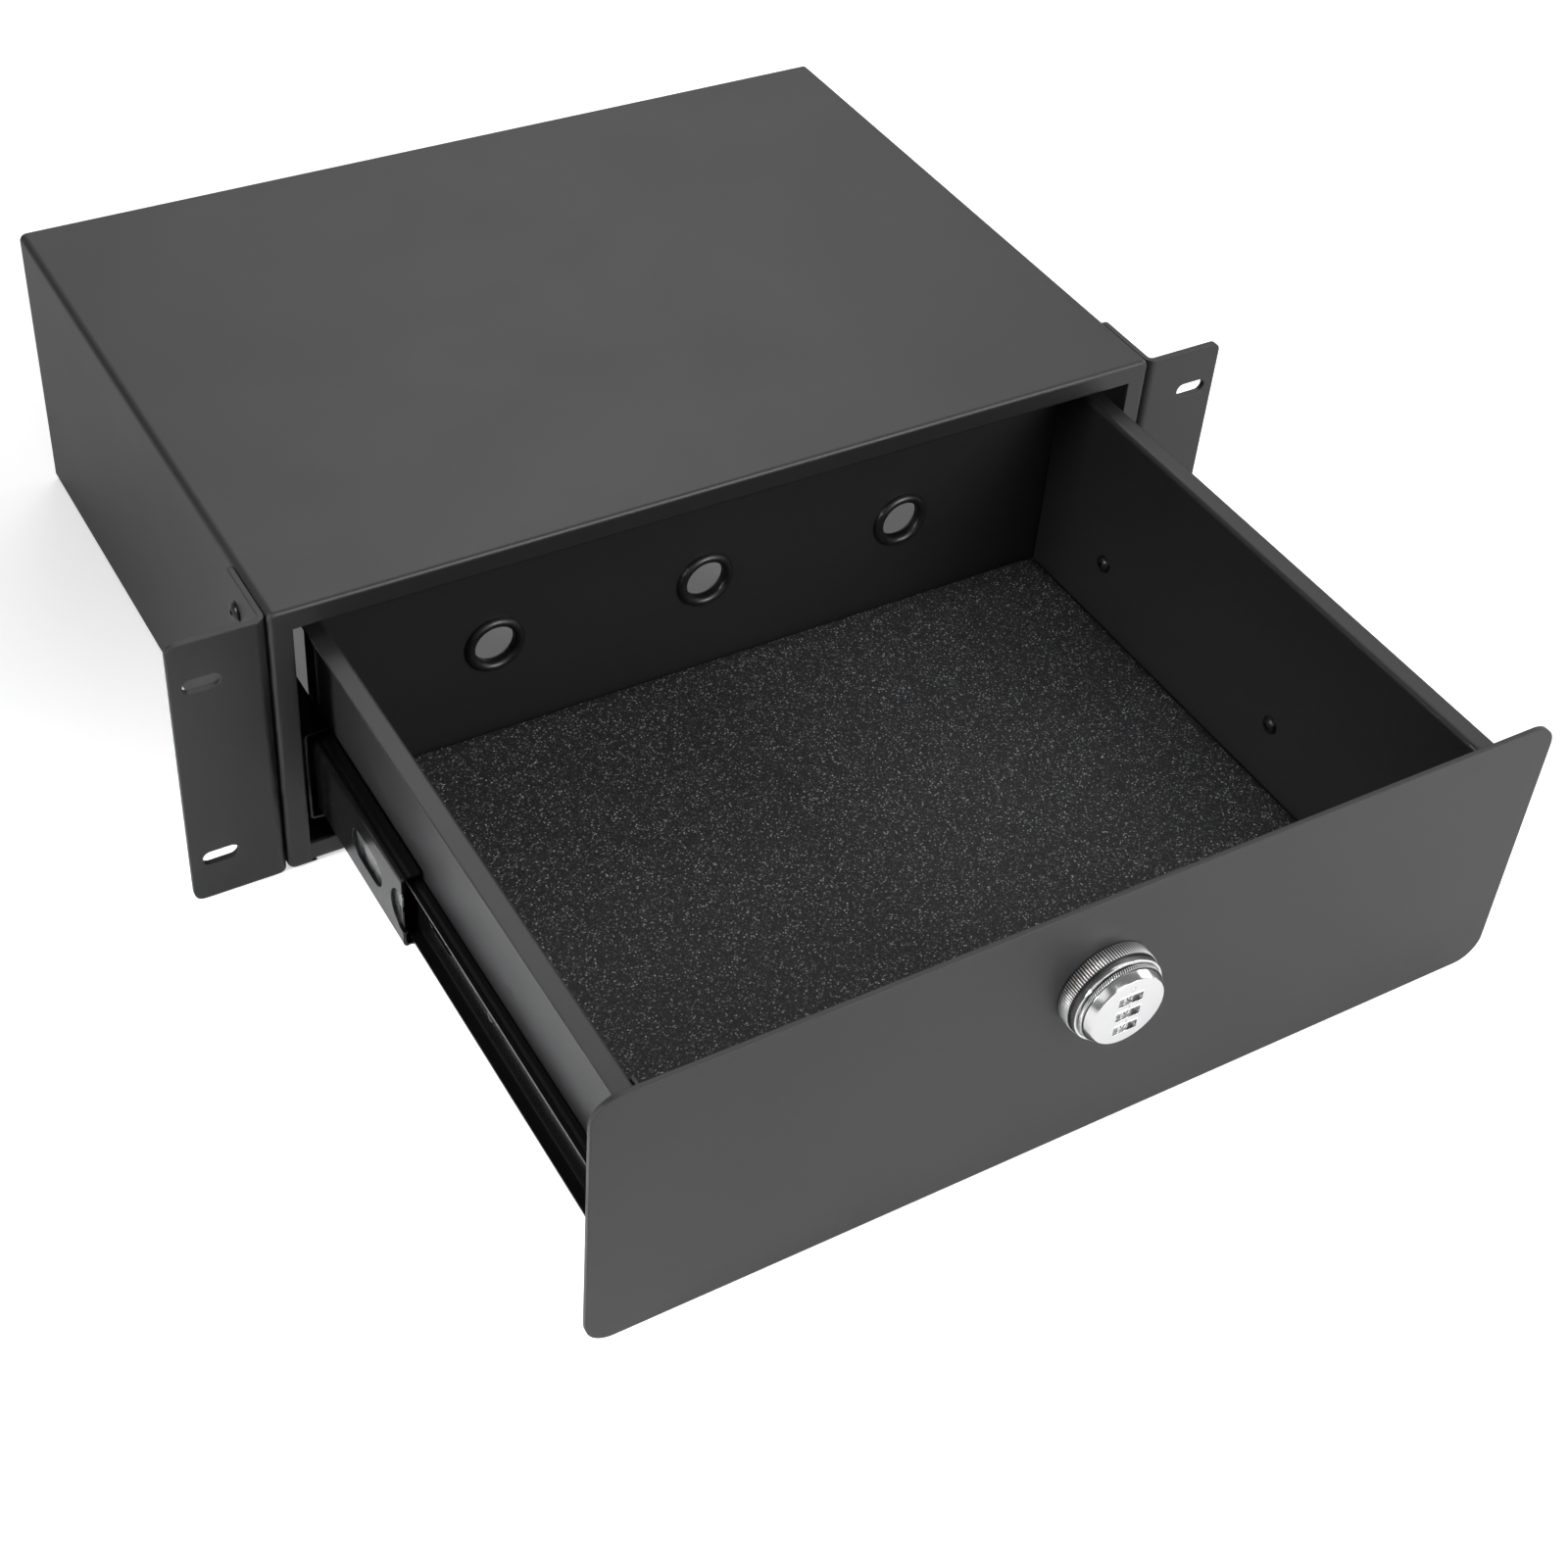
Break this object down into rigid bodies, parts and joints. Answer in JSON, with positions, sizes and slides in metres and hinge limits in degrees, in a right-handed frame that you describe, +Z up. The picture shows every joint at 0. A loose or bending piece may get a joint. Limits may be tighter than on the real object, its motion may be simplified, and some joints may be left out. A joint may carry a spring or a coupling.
{
  "type": "sliding rack drawer",
  "caption": "Lockable sliding drawer for a 19 inch rack: steel cabinet with slotted ears, lined tray on ball-bearing slides, cable grommets at the back and a turning combination lock.",
  "frame": {"origin": "centre of the rack ears' slot pattern, in the front plane of the ears", "axes": "+X to the right seen from the front, -Y out of the front, +Z up"},
  "size_m": [0.4826, 0.5653, 0.1325],
  "materials": {
    "black_powder_coat": "fine satin powder coat",
    "black_screw": "black oxide",
    "black_slide_steel": "glossy black",
    "zinc_steel": "zinc plated",
    "ball_steel": "polished",
    "foam": "dense closed-cell foam",
    "rubber": "smooth",
    "lock_chrome": "polished",
    "wheel_chrome": "polished, figures filled black"
  },
  "bodies": {
    "cabinet": {"cabinet_shell": "black_powder_coat", "bottom_front_tie": "black_powder_coat", "bottom_rear_tie": "black_powder_coat", "ear_left": "black_powder_coat", "ear_right": "black_powder_coat", "ear_screws": "black_screw", "ear_nuts": "zinc_steel", "slide_brackets_left": "black_powder_coat", "slide_brackets_right": "black_powder_coat", "slide_outer_left": "black_slide_steel", "slide_outer_right": "black_slide_steel"},
    "drawer": {"drawer_tray": "black_powder_coat", "drawer_back": "black_powder_coat", "drawer_front_wall": "black_powder_coat", "front_panel": "black_powder_coat", "foam_mat": "foam", "cable_grommets": "rubber", "slide_inner_left": "black_slide_steel", "slide_inner_right": "black_slide_steel", "slide_screws": "black_screw", "lock_housing": "lock_chrome", "lock_nut": "zinc_steel"},
    "lock_knob": {"lock_knob": "lock_chrome", "wheel_axle": "zinc_steel", "lock_cam": "zinc_steel", "cam_screw": "zinc_steel"},
    "middle_left": {"slide_middle_left": "black_slide_steel"},
    "outer_cage_left": {"ball_cage_outer_left": "zinc_steel", "balls_outer_left": "ball_steel"},
    "inner_cage_left": {"ball_cage_inner_left": "zinc_steel", "balls_inner_left": "ball_steel"},
    "middle_right": {"slide_middle_right": "black_slide_steel"},
    "outer_cage_right": {"ball_cage_outer_right": "zinc_steel", "balls_outer_right": "ball_steel"},
    "inner_cage_right": {"ball_cage_inner_right": "zinc_steel", "balls_inner_right": "ball_steel"},
    "wheel_top": {"code_wheel_top": "wheel_chrome"},
    "wheel_middle": {"code_wheel_middle": "wheel_chrome"},
    "wheel_bottom": {"code_wheel_bottom": "wheel_chrome"}
  },
  "joints": [
    {"name": "drawer_slide", "type": "slide", "parent": "cabinet", "child": "drawer", "axis": [0, 1, 0], "range_m": [-0.014, 0.256]},
    {"name": "middle_left_slide", "type": "slide", "parent": "cabinet", "child": "middle_left", "axis": [0, 1, 0], "range_m": [-0.007, 0.128]},
    {"name": "outer_cage_left_slide", "type": "slide", "parent": "cabinet", "child": "outer_cage_left", "axis": [0, 1, 0], "range_m": [-0.0035, 0.064]},
    {"name": "inner_cage_left_slide", "type": "slide", "parent": "cabinet", "child": "inner_cage_left", "axis": [0, 1, 0], "range_m": [-0.0105, 0.192]},
    {"name": "middle_right_slide", "type": "slide", "parent": "cabinet", "child": "middle_right", "axis": [0, 1, 0], "range_m": [-0.007, 0.128]},
    {"name": "outer_cage_right_slide", "type": "slide", "parent": "cabinet", "child": "outer_cage_right", "axis": [0, 1, 0], "range_m": [-0.0035, 0.064]},
    {"name": "inner_cage_right_slide", "type": "slide", "parent": "cabinet", "child": "inner_cage_right", "axis": [0, 1, 0], "range_m": [-0.0105, 0.192]},
    {"name": "lock_turn", "type": "hinge", "parent": "drawer", "child": "lock_knob", "pos_m": [0, -0.2583, 0.02215], "axis": [0, 1, 0], "range_deg": [0, 90]},
    {"name": "wheel_top_turn", "type": "hinge", "parent": "lock_knob", "child": "wheel_top", "pos_m": [0, -0.2661, 0.02825], "axis": [0, 0, 1], "continuous": true},
    {"name": "wheel_middle_turn", "type": "hinge", "parent": "lock_knob", "child": "wheel_middle", "pos_m": [0, -0.2661, 0.02105], "axis": [0, 0, 1], "continuous": true},
    {"name": "wheel_bottom_turn", "type": "hinge", "parent": "lock_knob", "child": "wheel_bottom", "pos_m": [0, -0.2661, 0.01385], "axis": [0, 0, 1], "continuous": true}
  ],
  "couplings": [
    {"joint": "middle_left_slide", "follows": "drawer_slide", "ratio": 0.5},
    {"joint": "outer_cage_left_slide", "follows": "drawer_slide", "ratio": 0.25},
    {"joint": "inner_cage_left_slide", "follows": "drawer_slide", "ratio": 0.75},
    {"joint": "middle_right_slide", "follows": "drawer_slide", "ratio": 0.5},
    {"joint": "outer_cage_right_slide", "follows": "drawer_slide", "ratio": 0.25},
    {"joint": "inner_cage_right_slide", "follows": "drawer_slide", "ratio": 0.75}
  ]
}
